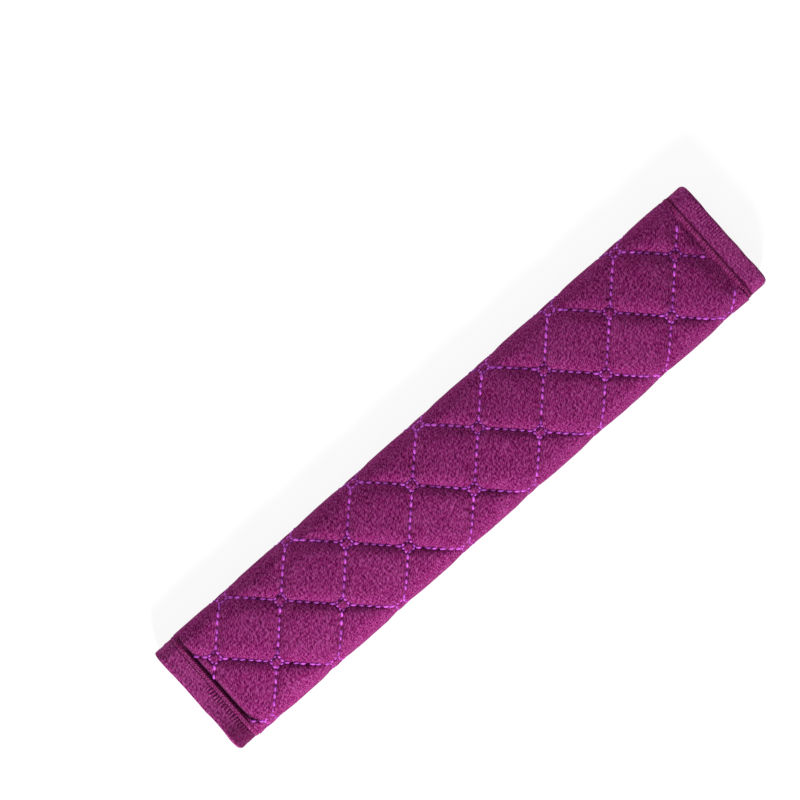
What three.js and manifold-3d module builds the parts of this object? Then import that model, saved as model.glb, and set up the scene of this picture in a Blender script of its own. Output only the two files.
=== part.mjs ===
// Seat belt shoulder pad: a quilted plush wrap that folds round the shoulder belt of a car.
//
// The pad is one flat laminate (plush face, wadding, belt-side lining) quilted together with
// thread, bound at both ends, and folded in three: the front on top, a soft fold along each
// long side, and two flaps underneath that overlap and close with a hook strip and a loop strip.
// The belt runs through the tunnel between the front and the flaps.
//
// Millimetres, +Z up. The origin is the centre of the underside, X runs along the pad and
// Y across it. The pad lies closed on its flaps, with its quilted front up.

import * as THREE from "three";
import { mergeVertices } from "three/addons/utils/BufferGeometryUtils.js";
import Module from "manifold-3d";

const wasm = await Module();
wasm.setup();

// Outer size and the room for the belt
const padLength = 322;
const padWidth = 60;
const tunnelHeight = 5;

// Layers of the laminate, from the belt side outwards
const layerGap = 0.15;
const liningThickness = 0.4;
const waddingThickness = 0.7;
const faceThickness = 0.9; // plush pressed flat under a stitch
const frontLoft = 2.4; // rise of a quilted pillow above its stitches
const foldPuff = 0.75; // rise of the stitches themselves where the pad folds
const foldLoft = 0.65; // and of the pillows above them
const underLoft = 1.2;
const underPressed = 0.4; // how much of a lower pillow the table flattens
const pillowFullness = 0.55; // power of a sine: the lower it is, the squarer the pillow
const riseFullness = 0.7; // the same for the rise of the pillows from a seam

// Quilting: diamond cells with a small square at each crossing
const cellHalfDiagonal = 19.84;
const crossingX = -2.1;
const crossingY = -11.2;
const crossingSquareHalf = 2.27;
const latticeTilt = -0.0082; // the rows climb slightly from one end of the pad to the other
const gridStepsPerCell = 4;
const threadWidth = 0.9;
const threadHeight = 0.45;
const threadFloat = 0.2; // from the plush to the thread that lies on it

// Bound ends
const hemWidth = 9.7;
const bindingThickness = 0.8;
const bindingInnerThickness = 0.6;
const seamRidgeWidth = 2.2;
const seamRidgeHeight = 0.6;
const seamRidgeShoulder = 0.6; // share of that height at the ridge's two sides
const seamGrooveWidth = 2.4;
const quiltEndRise = 6;

// Hook-and-loop closure
const fastenerWidth = 16;
const fastenerMargin = 1;
const hookThickness = 0.8;
const loopThickness = 0.8;
const fastenerEndInset = 5; // from the quilted area's end to the strip's end
const fastenerCorner = 2;

// The inner flap rises over the outer one in an S-bend
const bendInnerRadius = 5;
const bendOuterRadius = 7;

// Edges of the laminate
const edgeTurn = 1; // the plush turned in round a flap's free edge
const liningHemRamp = 2.2; // length over which the lining rises to the plush at the hem

// Heights above the belt-side surface of the lining, across the laminate
const waddingInner = liningThickness + layerGap;
const faceInner = waddingInner + waddingThickness + layerGap;
const stitchWall = faceInner + faceThickness;
const foldWall = stitchWall + foldPuff + foldLoft;
const liningHemLift = waddingThickness + layerGap;
const bindingInner = stitchWall + layerGap;
const bindingOuter = bindingInner + bindingThickness;

// The folded section
const flapGap = layerGap + loopThickness + layerGap + hookThickness + layerGap;
const innerHeight = tunnelHeight + stitchWall + flapGap;
const outerFlapZ = stitchWall + underLoft - underPressed;
const frontZ = outerFlapZ + innerHeight;
const innerFlapZ = frontZ - tunnelHeight;
const foldInnerRadius = innerHeight / 2;
const foldOuterRadius = foldInnerRadius + foldWall;
const foldCentreZ = outerFlapZ + foldInnerRadius;
const shoulder = padWidth / 2 - foldOuterRadius;
const foldArc = Math.PI * foldOuterRadius;
const foldEnd = shoulder + foldArc;

const overlapHalf = fastenerWidth / 2 + fastenerMargin;
const bendAngle = Math.acos(1 - (innerFlapZ - outerFlapZ) / (bendInnerRadius + bendOuterRadius));
const bendRun = (bendInnerRadius + bendOuterRadius) * Math.sin(bendAngle);
const bendStartY = overlapHalf + bendRun;
const bendStart = foldEnd + (shoulder - bendStartY);
const bendMiddle = bendStart + bendInnerRadius * bendAngle;
const bendEnd = bendMiddle + bendOuterRadius * bendAngle;
const innerFlapEdge = bendEnd + 2 * overlapHalf;
const outerFlapEdge = -(foldEnd + shoulder + overlapHalf);

// Stations along the pad
const endX = padLength / 2;
const seamX = endX - hemWidth;
const laminateEndX = endX - bindingInnerThickness - layerGap;
const ridgeX = seamX - layerGap - seamRidgeWidth;
const quiltEndX = ridgeX - seamGrooveWidth;

const gridStep = cellHalfDiagonal / gridStepsPerCell;
const closeStation = 0.05;

const colours = {
  plush: 0x80285f,
  wadding: 0xe6dfe2,
  lining: 0x5c1e46,
  binding: 0x842c66,
  seam: 0x7a2460,
  thread: 0xb94fd0,
  fastener: 0x5a1c44,
};

function smooth(value, from, to) {
  const share = THREE.MathUtils.clamp((value - from) / (to - from), 0, 1);
  return share * share * (3 - 2 * share);
}

// A point of the folded section at arc length s from the middle of the front, on the
// belt-side surface, with the outward normal there. Positive s ends in the inner flap.
function sectionPoint(s) {
  const side = s < 0 ? -1 : 1;
  const run = Math.abs(s);
  if (run <= shoulder) return { y: s, z: frontZ, ny: 0, nz: 1 };
  if (run <= foldEnd) {
    const angle = (run - shoulder) / foldOuterRadius;
    const ny = side * Math.sin(angle);
    const nz = Math.cos(angle);
    const y = side * shoulder + foldInnerRadius * ny;
    return { y, z: foldCentreZ + foldInnerRadius * nz, ny, nz };
  }
  if (s < 0 || run <= bendStart)
    return { y: side * (shoulder - (run - foldEnd)), z: outerFlapZ, ny: 0, nz: -1 };
  if (run <= bendMiddle) {
    const angle = (run - bendStart) / bendInnerRadius;
    const ny = -Math.sin(angle);
    const nz = -Math.cos(angle);
    const centreZ = outerFlapZ + bendInnerRadius;
    return { y: bendStartY + bendInnerRadius * ny, z: centreZ + bendInnerRadius * nz, ny, nz };
  }
  if (run <= bendEnd) {
    const angle = (bendEnd - run) / bendOuterRadius;
    const ny = -Math.sin(angle);
    const nz = -Math.cos(angle);
    const centreZ = innerFlapZ - bendOuterRadius;
    return { y: overlapHalf - bendOuterRadius * ny, z: centreZ - bendOuterRadius * nz, ny, nz };
  }
  return { y: overlapHalf - (run - bendEnd), z: innerFlapZ, ny: 0, nz: -1 };
}

// The point at x along the pad, s round the section and height t out from the belt side.
// Plush that would reach below the table is pressed flat on it.
function place(x, s, t) {
  const p = sectionPoint(s);
  return new THREE.Vector3(x, p.y + p.ny * t, Math.max(0, p.z + p.nz * t));
}

// Quilting rows are lines of the lattice. They follow its tilt, except near the free edges.
function rowPosition(row, x) {
  const fade =
    row > 0 ? 1 - smooth(row, foldEnd - foldOuterRadius, foldEnd) : smooth(row, outerFlapEdge, -foldEnd);
  return row + latticeTilt * x * fade;
}

// 1 on the quilted front, 0 round the folds
function frontShare(s) {
  return 1 - smooth(Math.abs(s), shoulder - quiltEndRise, shoulder + quiltEndRise);
}

// 1 where the lower part of a fold is pressed thin, 0 round its side
function pressedShare(s) {
  return smooth(Math.abs(s), foldEnd - 2 * quiltEndRise, foldEnd);
}

// 1 on the quilted underside of the outer flap, 0 round the folds and on the inner flap
function underShare(s) {
  return s > 0 ? 0 : smooth(-s, foldEnd - quiltEndRise / 2, foldEnd + quiltEndRise);
}

// How full the pillow is at a lattice point: 0 on a stitch line, 1 in the middle of a cell
function pillow(x, row) {
  const across = (x - crossingX) / cellHalfDiagonal;
  const down = (row - crossingY) / cellHalfDiagonal;
  const toStitch = (value) => Math.abs(value - 2 * Math.round(value / 2));
  const rise = (share) => Math.sin((Math.PI / 2) * Math.min(1, share)) ** pillowFullness;
  return rise(toStitch(across + down)) * rise(toStitch(across - down));
}

// How the pillows rise from a seam that presses them flat
function riseFrom(distance) {
  const share = THREE.MathUtils.clamp(distance / quiltEndRise, 0, 1);
  return Math.sin((Math.PI / 2) * share) ** riseFullness;
}

// Height of the plush's outer surface
function faceOuter(x, row) {
  const s = rowPosition(row, x);
  const front = frontShare(s);
  const fold = 1 - front - pressedShare(s);
  const loft = frontLoft * front + foldLoft * fold + underLoft * underShare(s);
  const body = stitchWall + foldPuff * fold + loft * pillow(x, row);
  const rise = riseFrom(quiltEndX - Math.abs(x)) * riseFrom(row - outerFlapEdge - edgeTurn);
  return stitchWall + (body - stitchWall) * rise;
}

// Adds stations of the lattice between two ends
function latticeStations(from, to, origin) {
  const found = [];
  const first = Math.ceil((from - origin) / gridStep);
  for (let i = first; origin + i * gridStep <= to; i++) {
    const at = origin + i * gridStep;
    if (at - from > closeStation && to - at > closeStation) found.push(at);
  }
  return found;
}

const latticeRows = latticeStations(outerFlapEdge + edgeTurn, innerFlapEdge - edgeTurn, crossingY);

// Rows of points round the section, finer where the inner flap bends and no quilting shows
function sectionRows() {
  const rows = [outerFlapEdge, ...latticeRows, innerFlapEdge];
  rows.push(outerFlapEdge + edgeTurn, innerFlapEdge - edgeTurn);
  latticeRows.slice(1).forEach((row, i) => {
    const middle = (latticeRows[i] + row) / 2;
    if (middle > foldEnd && middle < bendEnd) rows.push(middle);
  });
  rows.sort((a, b) => a - b);
  return rows.filter((row, i) => i === 0 || row - rows[i - 1] > closeStation);
}

const plushXs = [
  -quiltEndX,
  ...latticeStations(-quiltEndX, quiltEndX, crossingX),
  quiltEndX,
];
const rows = sectionRows();

// A closed surface with its faces turned outwards
function geometryOf(points, triangles) {
  const volume = triangles.reduce(
    (sum, [a, b, c]) => sum + points[a].dot(points[b].clone().cross(points[c])),
    0,
  );
  const facing = volume < 0 ? triangles.map(([a, b, c]) => [a, c, b]) : triangles;
  const geometry = new THREE.BufferGeometry();
  const positions = new Float32Array(points.flatMap((p) => p.toArray()));
  geometry.setAttribute("position", new THREE.BufferAttribute(positions, 3));
  geometry.setIndex(facing.flat());
  return geometry;
}

// Lattice cells are split along the stitch lines that cross them
function splitsDown(x, row) {
  const across = Math.floor((x - crossingX) / cellHalfDiagonal);
  const down = Math.floor((row - crossingY) / cellHalfDiagonal);
  return (across + down) % 2 === 0;
}

// A closed sheet that follows the section. `outer` and `inner` give the heights of its two
// surfaces at (x, row), each on its own stations along the pad.
function sheet(sheetRows, outerXs, innerXs, outer, inner) {
  const points = [];
  const triangles = [];
  const addGrid = (xs, height) =>
    sheetRows.map((row) =>
      xs.map((x) => points.push(place(x, rowPosition(row, x), height(x, row))) - 1),
    );
  const outerGrid = addGrid(outerXs, outer);
  const innerGrid = addGrid(innerXs, inner);

  const skin = (grid, xs, flip) => {
    for (let j = 0; j < grid.length - 1; j++)
      for (let i = 0; i < xs.length - 1; i++) {
        const [a, b, c, d] = [grid[j][i], grid[j][i + 1], grid[j + 1][i + 1], grid[j + 1][i]];
        const middleX = (xs[i] + xs[i + 1]) / 2;
        const middleRow = (sheetRows[j] + sheetRows[j + 1]) / 2;
        const pair = splitsDown(middleX, middleRow)
          ? [[a, b, c], [a, c, d]]
          : [[a, b, d], [b, c, d]];
        pair.forEach((t) => triangles.push(flip ? t.reverse() : t));
      }
  };
  skin(outerGrid, outerXs, false);
  skin(innerGrid, innerXs, true);

  // Walls along the flaps' free edges, between two lines with different stations
  const wall = (high, low, flip) => {
    let i = 0;
    let k = 0;
    while (i < high.length - 1 || k < low.length - 1) {
      const nextHigh = i < high.length - 1 ? outerXs[i + 1] : Infinity;
      const nextLow = k < low.length - 1 ? innerXs[k + 1] : Infinity;
      const t = nextHigh <= nextLow ? [high[i], low[k], high[i + 1]] : [high[i], low[k], low[k + 1]];
      if (nextHigh <= nextLow) i++;
      else k++;
      triangles.push(flip ? t.reverse() : t);
    }
  };
  const last = sheetRows.length - 1;
  wall(outerGrid[0], innerGrid[0], false);
  wall(outerGrid[last], innerGrid[last], true);

  // Walls across the two ends
  for (let j = 0; j < last; j++)
    for (const [o, n, flip] of [[0, 0, false], [outerXs.length - 1, innerXs.length - 1, true]]) {
      const [a, b, c, d] = [outerGrid[j][o], outerGrid[j + 1][o], innerGrid[j + 1][n], innerGrid[j][n]];
      [[a, b, c], [a, c, d]].forEach((t) => triangles.push(flip ? t.reverse() : t));
    }
  return geometryOf(points, triangles);
}

// A profile of [x, t] points swept round the whole section, closed at both flap edges
function sweptRound(profile, sweepRows) {
  const points = sweepRows.flatMap((row) =>
    profile.map(([x, t]) => place(x, rowPosition(row, x), t)),
  );
  const count = profile.length;
  const triangles = [];
  for (let j = 0; j < sweepRows.length - 1; j++)
    for (let i = 0; i < count; i++) {
      const next = (i + 1) % count;
      const [a, b] = [j * count + i, j * count + next];
      const [c, d] = [a + count, b + count];
      triangles.push([a, c, b], [b, c, d]);
    }
  const outline = profile.map(([x, t]) => new THREE.Vector2(x, t));
  const area = (corners) => THREE.ShapeUtils.area(corners);
  const lastStart = (sweepRows.length - 1) * count;
  for (const cap of THREE.ShapeUtils.triangulateShape(outline, [])) {
    const sameWay = area(cap.map((i) => outline[i])) * area(outline) > 0;
    const [a, b, c] = sameWay ? cap : [...cap].reverse();
    triangles.push([a, b, c], [lastStart + a, lastStart + c, lastStart + b]);
  }
  return geometryOf(points, triangles);
}

function named(name, geometry, colour, roughness = 0.95) {
  geometry.computeVertexNormals();
  const material = new THREE.MeshStandardMaterial({ color: colour, roughness, metalness: 0 });
  const mesh = new THREE.Mesh(geometry, material);
  mesh.name = name;
  return mesh;
}

// The plush face, with its quilted relief outside. Its edges are turned in at both flaps,
// except inside the bindings.
function plushFace() {
  const outerXs = [-laminateEndX, ...plushXs, laminateEndX];
  const turnEnd = seamX - 2 * layerGap;
  const innerXs = [-laminateEndX, -seamX, -turnEnd, 0, turnEnd, seamX, laminateEndX];
  const atEdge = (row) => row <= outerFlapEdge + edgeTurn || row >= innerFlapEdge - edgeTurn;
  const turnedRows = rows.flatMap((row) => {
    if (row === outerFlapEdge + edgeTurn) return [row, row + closeStation * 2];
    if (row === innerFlapEdge - edgeTurn) return [row - closeStation * 2, row];
    return [row];
  });
  const inner = (x, row) => (atEdge(row) && Math.abs(x) <= turnEnd ? 0 : faceInner);
  return sheet(turnedRows, outerXs, innerXs, faceOuter, inner);
}

// The wadding stops short of the bound ends, so that the hems stay flat
function wadding() {
  const xs = [-quiltEndX, 0, quiltEndX];
  return sheet(layerRows(), xs, xs, () => waddingInner + waddingThickness, () => waddingInner);
}

// Rows for the layers inside the plush, between its two turned-in edges
function layerRows() {
  const edge = edgeTurn + 2 * layerGap;
  const [low, high] = [outerFlapEdge + edge, innerFlapEdge - edge];
  const inside = rows.filter((row) => row - low > closeStation && high - row > closeStation);
  return [low, ...inside, high];
}

// The lining on the belt side, which rises to meet the plush where the wadding stops
function lining() {
  const rampStart = quiltEndX + layerGap * 2;
  const rampEnd = rampStart + liningHemRamp;
  const xs = [-laminateEndX, -rampEnd, -rampStart, 0, rampStart, rampEnd, laminateEndX];
  const low = (x) => (Math.abs(x) >= rampEnd ? liningHemLift : 0);
  return sheet(layerRows(), xs, xs, (x) => low(x) + liningThickness, low);
}

// A soft tape folded over the end of the laminate, on the plush and on the belt side
function endBinding(side) {
  const round = bindingThickness / 2;
  const inner = liningHemLift - layerGap;
  const foot = inner - bindingInnerThickness;
  const profile = [
    [seamX, bindingInner],
    [seamX, bindingOuter - round],
    [seamX + round, bindingOuter],
    [endX - 2 * round, bindingOuter],
    [endX - round / 2, bindingOuter - round / 2],
    [endX, bindingOuter - 2 * round],
    [endX, foot + 2 * round],
    [endX - round / 2, foot + round / 2],
    [endX - 2 * round, foot],
    [seamX, foot],
    [seamX, inner],
    [endX - bindingInnerThickness, inner],
    [endX - bindingInnerThickness, bindingInner],
  ];
  return sweptRound(atEnd(profile, side), rows);
}

// The ridge of overlock stitching that joins the binding to the quilted body
function seamRidge(side) {
  const base = stitchWall + layerGap;
  const middle = ridgeX + seamRidgeWidth / 2;
  const shoulderHeight = base + seamRidgeHeight * seamRidgeShoulder;
  const profile = [
    [ridgeX, base],
    [ridgeX, shoulderHeight],
    [middle, base + seamRidgeHeight],
    [ridgeX + seamRidgeWidth, shoulderHeight],
    [ridgeX + seamRidgeWidth, base],
  ];
  return sweptRound(atEnd(profile, side), rows);
}

// A profile drawn for the +X end, at the end that `side` names
function atEnd(profile, side) {
  return profile.map(([x, t]) => [side * x, t]);
}

// The point `lift` above the plush's faceted surface at a lattice point
function onPlush(x, row, lift) {
  const i = THREE.MathUtils.clamp(plushXs.findLastIndex((at) => at <= x), 0, plushXs.length - 2);
  const j = THREE.MathUtils.clamp(rows.findLastIndex((at) => at <= row), 0, rows.length - 2);
  const [x0, x1, r0, r1] = [plushXs[i], plushXs[i + 1], rows[j], rows[j + 1]];
  const u = (x - x0) / (x1 - x0);
  const v = (row - r0) / (r1 - r0);
  const corner = (cx, cr) => place(cx, rowPosition(cr, cx), faceOuter(cx, cr));
  const [a, b, c, d] = [corner(x0, r0), corner(x1, r0), corner(x1, r1), corner(x0, r1)];
  let shares; // of the corners a, b, c and d
  if (splitsDown((x0 + x1) / 2, (r0 + r1) / 2))
    shares = v <= u ? [1 - u, u - v, v, 0] : [1 - v, 0, u, v - u];
  else shares = u + v <= 1 ? [1 - u - v, u, 0, v] : [0, 1 - v, u + v - 1, 1 - u];
  const point = new THREE.Vector3();
  [a, b, c, d].forEach((p, k) => point.addScaledVector(p, shares[k]));
  const { ny, nz } = sectionPoint(rowPosition(row, x));
  point.add(new THREE.Vector3(0, ny * lift, nz * lift));
  return point.setZ(Math.max(layerGap, point.z)); // clear of the table
}

// A flat thread on the plush between two edges of lattice points [x, row]
function ribbon(leftEdge, rightEdge, closed) {
  const points = leftEdge.flatMap((left, i) => {
    const right = rightEdge[i];
    return [
      onPlush(...left, threadFloat),
      onPlush(...right, threadFloat),
      onPlush(...right, threadFloat + threadHeight),
      onPlush(...left, threadFloat + threadHeight),
    ];
  });
  const count = leftEdge.length;
  const triangles = [];
  for (let i = 0; i < (closed ? count : count - 1); i++)
    for (let k = 0; k < 4; k++) {
      const after = (k + 1) % 4;
      const [a, b] = [i * 4 + k, i * 4 + after];
      const [c, d] = [((i + 1) % count) * 4 + k, ((i + 1) % count) * 4 + after];
      triangles.push([a, c, b], [b, c, d]);
    }
  const last = (count - 1) * 4;
  if (!closed) triangles.push([0, 1, 2], [0, 2, 3], [last, last + 2, last + 1], [last, last + 3, last + 2]);
  const merged = mergeVertices(geometryOf(points, triangles), 1e-4);
  return new wasm.Manifold(
    new wasm.Mesh({
      numProp: 3,
      vertProperties: merged.attributes.position.array,
      triVerts: new Uint32Array(merged.index.array),
    }),
  );
}

// The small stitched square round a crossing
function threadSquare(x, row) {
  const ring = [[1, 0], [1, 1], [0, 1], [-1, 1], [-1, 0], [-1, -1], [0, -1], [1, -1]];
  const edge = (reach) => ring.map(([a, b]) => [x + a * reach, row + b * reach]);
  return ribbon(edge(crossingSquareHalf + threadWidth / 2), edge(crossingSquareHalf - threadWidth / 2), true);
}

// The stitched line from one square to the next one up, to the left (way -1) or right (way 1)
function threadRun(x, row, way, rowFrom, rowTo) {
  const endReach = quiltEndX - 2 * layerGap;
  const reaches = [
    crossingSquareHalf,
    cellHalfDiagonal - crossingSquareHalf,
    ...[...rows, rowFrom, rowTo].map((at) => at - row),
    way * (endReach - x),
    way * (-endReach - x),
  ];
  const inside = reaches
    .filter((reach) => reach >= crossingSquareHalf && reach <= cellHalfDiagonal - crossingSquareHalf)
    .filter((reach) => Math.abs(x + way * reach) <= endReach + closeStation / 2)
    .filter((reach) => row + reach >= rowFrom && row + reach <= rowTo)
    .sort((a, b) => a - b)
    .filter((reach, i, all) => i === 0 || reach - all[i - 1] > closeStation);
  if (inside.length < 2) return null;
  const aside = threadWidth / 2 / Math.SQRT2;
  const edge = (side) => inside.map((r) => [x + way * r + side * way * aside, row + r - side * aside]);
  return ribbon(edge(1), edge(-1), false);
}

// The quilting thread: one net of straight runs that join the squares at the crossings
function quiltingThread() {
  const rowFrom = outerFlapEdge + edgeTurn + threadWidth;
  const rowTo = foldEnd;
  const lowest = Math.floor((rowFrom - crossingY) / cellHalfDiagonal);
  const highest = Math.ceil((rowTo - crossingY) / cellHalfDiagonal);
  const reach = Math.ceil(endX / cellHalfDiagonal) + 1;
  const half = crossingSquareHalf + threadWidth / 2;
  const pieces = [];
  for (let j = lowest; j <= highest; j++)
    for (let i = -reach; i <= reach; i++) {
      if ((i + j) % 2 !== 0) continue;
      const x = crossingX + i * cellHalfDiagonal;
      const row = crossingY + j * cellHalfDiagonal;
      const whole = Math.abs(x) + half < quiltEndX && row - half > rowFrom && row + half < rowTo;
      if (whole) pieces.push(threadSquare(x, row));
      pieces.push(threadRun(x, row, 1, rowFrom, rowTo), threadRun(x, row, -1, rowFrom, rowTo));
    }
  return joined(pieces.filter(Boolean));
}

// Joins solids in pairs, then keeps the one body that hangs together
function joined(solids) {
  let parts = solids;
  while (parts.length > 1) {
    const next = [];
    for (let i = 0; i < parts.length; i += 2)
      next.push(i + 1 < parts.length ? parts[i].add(parts[i + 1]) : parts[i]);
    parts = next;
  }
  const bodies = parts[0].decompose().sort((a, b) => b.volume() - a.volume());
  const mesh = bodies[0].getMesh();
  const geometry = new THREE.BufferGeometry();
  const positions = new Float32Array(mesh.numVert * 3);
  for (let i = 0; i < mesh.numVert; i++)
    positions.set(mesh.vertProperties.subarray(i * mesh.numProp, i * mesh.numProp + 3), i * 3);
  geometry.setAttribute("position", new THREE.BufferAttribute(positions, 3));
  geometry.setIndex(Array.from(mesh.triVerts));
  return geometry;
}

// One strip of the closure, with rounded corners, flat in the overlap of the flaps
function fastenerStrip(thickness) {
  const halfLength = quiltEndX - fastenerEndInset;
  const halfWidth = fastenerWidth / 2;
  const corner = fastenerCorner;
  const outline = new THREE.Shape();
  outline.moveTo(-halfLength + corner, -halfWidth);
  outline.lineTo(halfLength - corner, -halfWidth);
  outline.absarc(halfLength - corner, -halfWidth + corner, corner, -Math.PI / 2, 0, false);
  outline.absarc(halfLength - corner, halfWidth - corner, corner, 0, Math.PI / 2, false);
  outline.absarc(-halfLength + corner, halfWidth - corner, corner, Math.PI / 2, Math.PI, false);
  outline.absarc(-halfLength + corner, -halfWidth + corner, corner, Math.PI, 1.5 * Math.PI, false);
  return new THREE.ExtrudeGeometry(outline, { depth: thickness, bevelEnabled: false, curveSegments: 4 });
}

const pad = new THREE.Group();
pad.add(named("plush_face", plushFace(), colours.plush));
pad.add(named("wadding", wadding(), colours.wadding));
pad.add(named("belt_side_lining", lining(), colours.lining));
pad.add(named("quilting_thread", quiltingThread(), colours.thread, 0.45));
for (const [end, side] of [["left", -1], ["right", 1]]) {
  pad.add(named(`${end}_end_binding`, endBinding(side), colours.binding));
  pad.add(named(`${end}_overlock_seam`, seamRidge(side), colours.seam, 0.7));
}

const hookStrip = named("hook_strip", fastenerStrip(hookThickness), colours.fastener, 0.6);
hookStrip.position.z = outerFlapZ + layerGap;
const loopStrip = named("loop_strip", fastenerStrip(loopThickness), colours.fastener, 0.9);
loopStrip.position.z = outerFlapZ + layerGap + hookThickness + layerGap;
pad.add(hookStrip, loopStrip);

export default pad;
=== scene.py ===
# Looks of a quilted plush seat belt shoulder pad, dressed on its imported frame.
#
# The pad is a laminate folded in three. Points on it are given by x along the pad, by a quilting
# row round the section (0 in the middle of the front), and by a height out from the belt side.
# Lengths are in millimetres until `mesh_object` turns them into metres. The frame, the materials,
# the lamps and the camera are in metres.

import bpy
import numpy as np
from mathutils import Matrix, Vector


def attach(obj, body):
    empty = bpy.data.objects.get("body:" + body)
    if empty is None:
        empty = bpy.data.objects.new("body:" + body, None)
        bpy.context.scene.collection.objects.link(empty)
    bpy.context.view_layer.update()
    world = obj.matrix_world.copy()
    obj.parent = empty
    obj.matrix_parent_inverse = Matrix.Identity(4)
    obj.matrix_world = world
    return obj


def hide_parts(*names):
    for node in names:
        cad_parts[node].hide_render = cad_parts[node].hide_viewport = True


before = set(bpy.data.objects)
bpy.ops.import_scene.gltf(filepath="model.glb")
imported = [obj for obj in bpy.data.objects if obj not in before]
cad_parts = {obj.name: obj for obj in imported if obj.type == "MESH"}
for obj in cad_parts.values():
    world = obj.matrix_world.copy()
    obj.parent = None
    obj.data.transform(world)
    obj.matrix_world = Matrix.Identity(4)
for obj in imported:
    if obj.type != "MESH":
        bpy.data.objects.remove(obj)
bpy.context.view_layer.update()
METRE = 0.001

# The pad as the frame holds it
PAD_WIDTH = 60.0
PAD_LENGTH = 322.0
TUNNEL_HEIGHT = 5.0
LAYER_GAP = 0.15
LINING = 0.4
WADDING = 0.7
FACE = 0.9
FRONT_LOFT = 2.4
FOLD_PUFF = 0.75
FOLD_LOFT = 0.65
UNDER_LOFT = 1.2
UNDER_PRESSED = 0.4
CELL = 19.84  # half of a quilted diamond's diagonal
CROSSING_X = -2.1
CROSSING_ROW = -11.2
SQUARE = 2.27  # half of the stitched square at a crossing
TILT = -0.0082
HEM = 9.7
BINDING = 0.8
BINDING_INNER = 0.6
RIDGE_WIDTH = 2.2
GROOVE_WIDTH = 2.4
FASTENER_WIDTH = 16.0
FASTENER_THICKNESS = 0.8
FASTENER_END_INSET = 5.0
FASTENER_MARGIN = 1.0
BEND_INNER = 5.0
BEND_OUTER = 7.0
EDGE_TURN = 1.0
SHARE_RUN = 6.0  # over which the front, the folds and the underside pass into each other

WADDING_INNER = LINING + LAYER_GAP
FACE_INNER = WADDING_INNER + WADDING + LAYER_GAP
STITCH_WALL = FACE_INNER + FACE
FOLD_WALL = STITCH_WALL + FOLD_PUFF + FOLD_LOFT
LINING_HEM_LIFT = WADDING + LAYER_GAP
BINDING_FOOT = LINING_HEM_LIFT - LAYER_GAP
BINDING_SEAT = STITCH_WALL + LAYER_GAP

FLAP_GAP = 3 * LAYER_GAP + 2 * FASTENER_THICKNESS
INNER_HEIGHT = TUNNEL_HEIGHT + STITCH_WALL + FLAP_GAP
OUTER_FLAP_Z = STITCH_WALL + UNDER_LOFT - UNDER_PRESSED
FRONT_Z = OUTER_FLAP_Z + INNER_HEIGHT
INNER_FLAP_Z = FRONT_Z - TUNNEL_HEIGHT
FOLD_INNER = INNER_HEIGHT / 2
FOLD_OUTER = FOLD_INNER + FOLD_WALL
FOLD_CENTRE_Z = OUTER_FLAP_Z + FOLD_INNER
SHOULDER = PAD_WIDTH / 2 - FOLD_OUTER
FOLD_END = SHOULDER + np.pi * FOLD_OUTER
OVERLAP_HALF = FASTENER_WIDTH / 2 + FASTENER_MARGIN
BEND_ANGLE = np.arccos(1 - (INNER_FLAP_Z - OUTER_FLAP_Z) / (BEND_INNER + BEND_OUTER))
BEND_START_Y = OVERLAP_HALF + (BEND_INNER + BEND_OUTER) * np.sin(BEND_ANGLE)
BEND_START = FOLD_END + SHOULDER - BEND_START_Y
BEND_MIDDLE = BEND_START + BEND_INNER * BEND_ANGLE
BEND_END = BEND_MIDDLE + BEND_OUTER * BEND_ANGLE
INNER_EDGE = BEND_END + 2 * OVERLAP_HALF
OUTER_EDGE = -(FOLD_END + SHOULDER + OVERLAP_HALF)

END_X = PAD_LENGTH / 2
SEAM_X = END_X - HEM
LAMINATE_X = END_X - BINDING_INNER - LAYER_GAP
RIDGE_X = SEAM_X - LAYER_GAP - RIDGE_WIDTH
QUILT_X = RIDGE_X - GROOVE_WIDTH

# The photograph's upward direction lies this much along the pad and this much across it
UP_X, UP_Y = 0.6645, 0.7473

# How finely the plush is modelled: steps for each cell, so that stitch lines run through points
FINE_STEPS = 30
FINE = CELL / FINE_STEPS

rng = np.random.default_rng(7)


def smooth(value, start, end):
    share = np.clip((value - start) / (end - start), 0, 1)
    return share * share * (3 - 2 * share)


def band(value, start, full, fade, end):
    """Rises from 0 at start to 1 at full, and falls from 1 at fade to 0 at end."""
    return smooth(value, start, full) * (1 - smooth(value, fade, end))


def bell(distance, reach):
    """1 where there is no distance, and close to 0 beyond twice the reach."""
    return np.exp(-((distance / reach) ** 2))


def ripple(value, pitch):
    """A wave between -1 and 1 that repeats after each pitch."""
    return np.cos(2 * np.pi * value / pitch)


def soft_noise(x, y, size, seed):
    """Smooth noise between -1 and 1 whose bumps are about `size` across."""
    count = 256
    table = np.random.default_rng(seed).uniform(-1, 1, (count, count))
    u, v = np.asarray(x) / size, np.asarray(y) / size
    i, j = np.floor(u).astype(int), np.floor(v).astype(int)
    a, b = smooth(u - i, 0, 1), smooth(v - j, 0, 1)
    i, j, next_i, next_j = i % count, j % count, (i + 1) % count, (j + 1) % count
    near = table[i, j] * (1 - a) + table[next_i, j] * a
    far = table[i, next_j] * (1 - a) + table[next_i, next_j] * a
    return near * (1 - b) + far * b


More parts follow.
